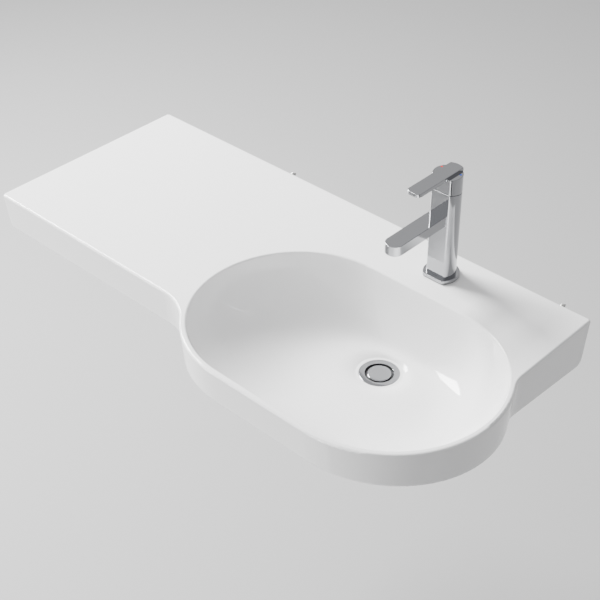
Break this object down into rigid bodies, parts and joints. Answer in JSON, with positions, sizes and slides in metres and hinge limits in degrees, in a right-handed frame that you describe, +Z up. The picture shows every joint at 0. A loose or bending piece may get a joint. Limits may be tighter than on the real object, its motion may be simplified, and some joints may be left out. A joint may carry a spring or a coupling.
{
  "type": "wall-hung washbasin",
  "caption": "Wall-hung washbasin with side shelf, single-lever mixer with a raised bar lever, press-to-open waste and wall fixings.",
  "frame": {"origin": "on the wall plane, midway between the two main wall fixings, on the centreline of bowl, mixer and waste", "axes": "+X along the wall to the right seen from the front, +Y into the wall, -Y out towards the user, +Z up"},
  "size_m": [0.9194, 0.5197, 0.372],
  "materials": {
    "basin": "white glaze, glossy",
    "wall_hanger_bolts": "zinc plated",
    "wall_bolt_sleeves": "natural nylon",
    "wall_bolt_washers": "zinc plated",
    "wall_bolt_nuts": "zinc plated",
    "waste_body": "polished chrome",
    "waste_top_seal": "black rubber",
    "waste_bottom_seal": "black rubber",
    "waste_slip_washer": "white nylon",
    "waste_backnut": "turned brass",
    "plug_cap": "polished chrome",
    "plug_seal": "black rubber",
    "plug_stem": "turned brass",
    "click_ring": "white acetal",
    "click_housing": "dark acetal",
    "plug_spring": "stainless spring wire",
    "tap_base_gasket": "black rubber",
    "tap_foot_ring": "polished chrome",
    "tap_body": "polished chrome on brass",
    "aerator_housing": "polished chrome",
    "aerator_insert": "grey plastic",
    "aerator_seal": "black rubber",
    "horseshoe_rubber": "black rubber",
    "horseshoe_plate": "zinc plated",
    "tap_stud_nut": "turned brass",
    "tap_stud": "zinc plated",
    "cartridge_base": "blue-grey plastic",
    "cartridge_base_seals": "black rubber",
    "cartridge_housing": "white plastic",
    "cartridge_nut": "turned brass",
    "cartridge_fixed_disc": "lapped alumina",
    "cartridge_moving_disc": "lapped alumina",
    "cartridge_carrier": "dark acetal",
    "cartridge_turret": "grey acetal",
    "lever_pivot_pin": "ground steel",
    "lever_stem": "brass",
    "seam_slip_ring": "black plastic",
    "lever_handle": "polished chrome",
    "lever_grub_screw": "blackened steel",
    "hot_dot": "red enamel",
    "cold_dot": "blue enamel"
  },
  "bodies": {
    "base": {"basin": "basin", "wall_hanger_bolts": "wall_hanger_bolts", "wall_bolt_sleeves": "wall_bolt_sleeves", "wall_bolt_washers": "wall_bolt_washers", "wall_bolt_nuts": "wall_bolt_nuts", "waste_body": "waste_body", "waste_top_seal": "waste_top_seal", "waste_bottom_seal": "waste_bottom_seal", "waste_slip_washer": "waste_slip_washer", "waste_backnut": "waste_backnut", "click_housing": "click_housing", "plug_spring": "plug_spring", "tap_base_gasket": "tap_base_gasket", "tap_foot_ring": "tap_foot_ring", "tap_body": "tap_body", "aerator_housing": "aerator_housing", "aerator_insert": "aerator_insert", "aerator_seal": "aerator_seal", "horseshoe_rubber": "horseshoe_rubber", "horseshoe_plate": "horseshoe_plate", "tap_stud_nut": "tap_stud_nut", "tap_stud": "tap_stud", "cartridge_base": "cartridge_base", "cartridge_base_seals": "cartridge_base_seals", "cartridge_housing": "cartridge_housing", "cartridge_nut": "cartridge_nut", "cartridge_fixed_disc": "cartridge_fixed_disc", "seam_slip_ring": "seam_slip_ring"},
    "turret": {"cartridge_turret": "cartridge_turret", "lever_pivot_pin": "lever_pivot_pin"},
    "lever": {"lever_handle": "lever_handle", "lever_grub_screw": "lever_grub_screw", "hot_dot": "hot_dot", "cold_dot": "cold_dot", "lever_stem": "lever_stem"},
    "control_disc": {"cartridge_carrier": "cartridge_carrier", "cartridge_moving_disc": "cartridge_moving_disc"},
    "plug": {"plug_cap": "plug_cap", "plug_seal": "plug_seal", "plug_stem": "plug_stem", "click_ring": "click_ring"}
  },
  "joints": [
    {"name": "mixer_turn", "type": "hinge", "parent": "base", "child": "turret", "pos_m": [0, -0.0566, 0.20499], "axis": [0, 0.1736, 0.9848], "range_deg": [-45, 45]},
    {"name": "mixer_lift", "type": "hinge", "parent": "turret", "child": "lever", "pos_m": [0, -0.04588, 0.20817], "axis": [-1, 0, 0], "range_deg": [0, 20]},
    {"name": "disc_slide", "type": "slide", "parent": "turret", "child": "control_disc", "axis": [0, -0.9848, 0.1736], "range_m": [0, 0.0058]},
    {"name": "plug_press", "type": "slide", "parent": "base", "child": "plug", "axis": [0, 0, 1], "range_m": [0, 0.008], "deforming": ["plug_spring"]}
  ],
  "couplings": [
    {"joint": "disc_slide", "follows": "mixer_lift", "m_per_rad": 0.016615}
  ]
}
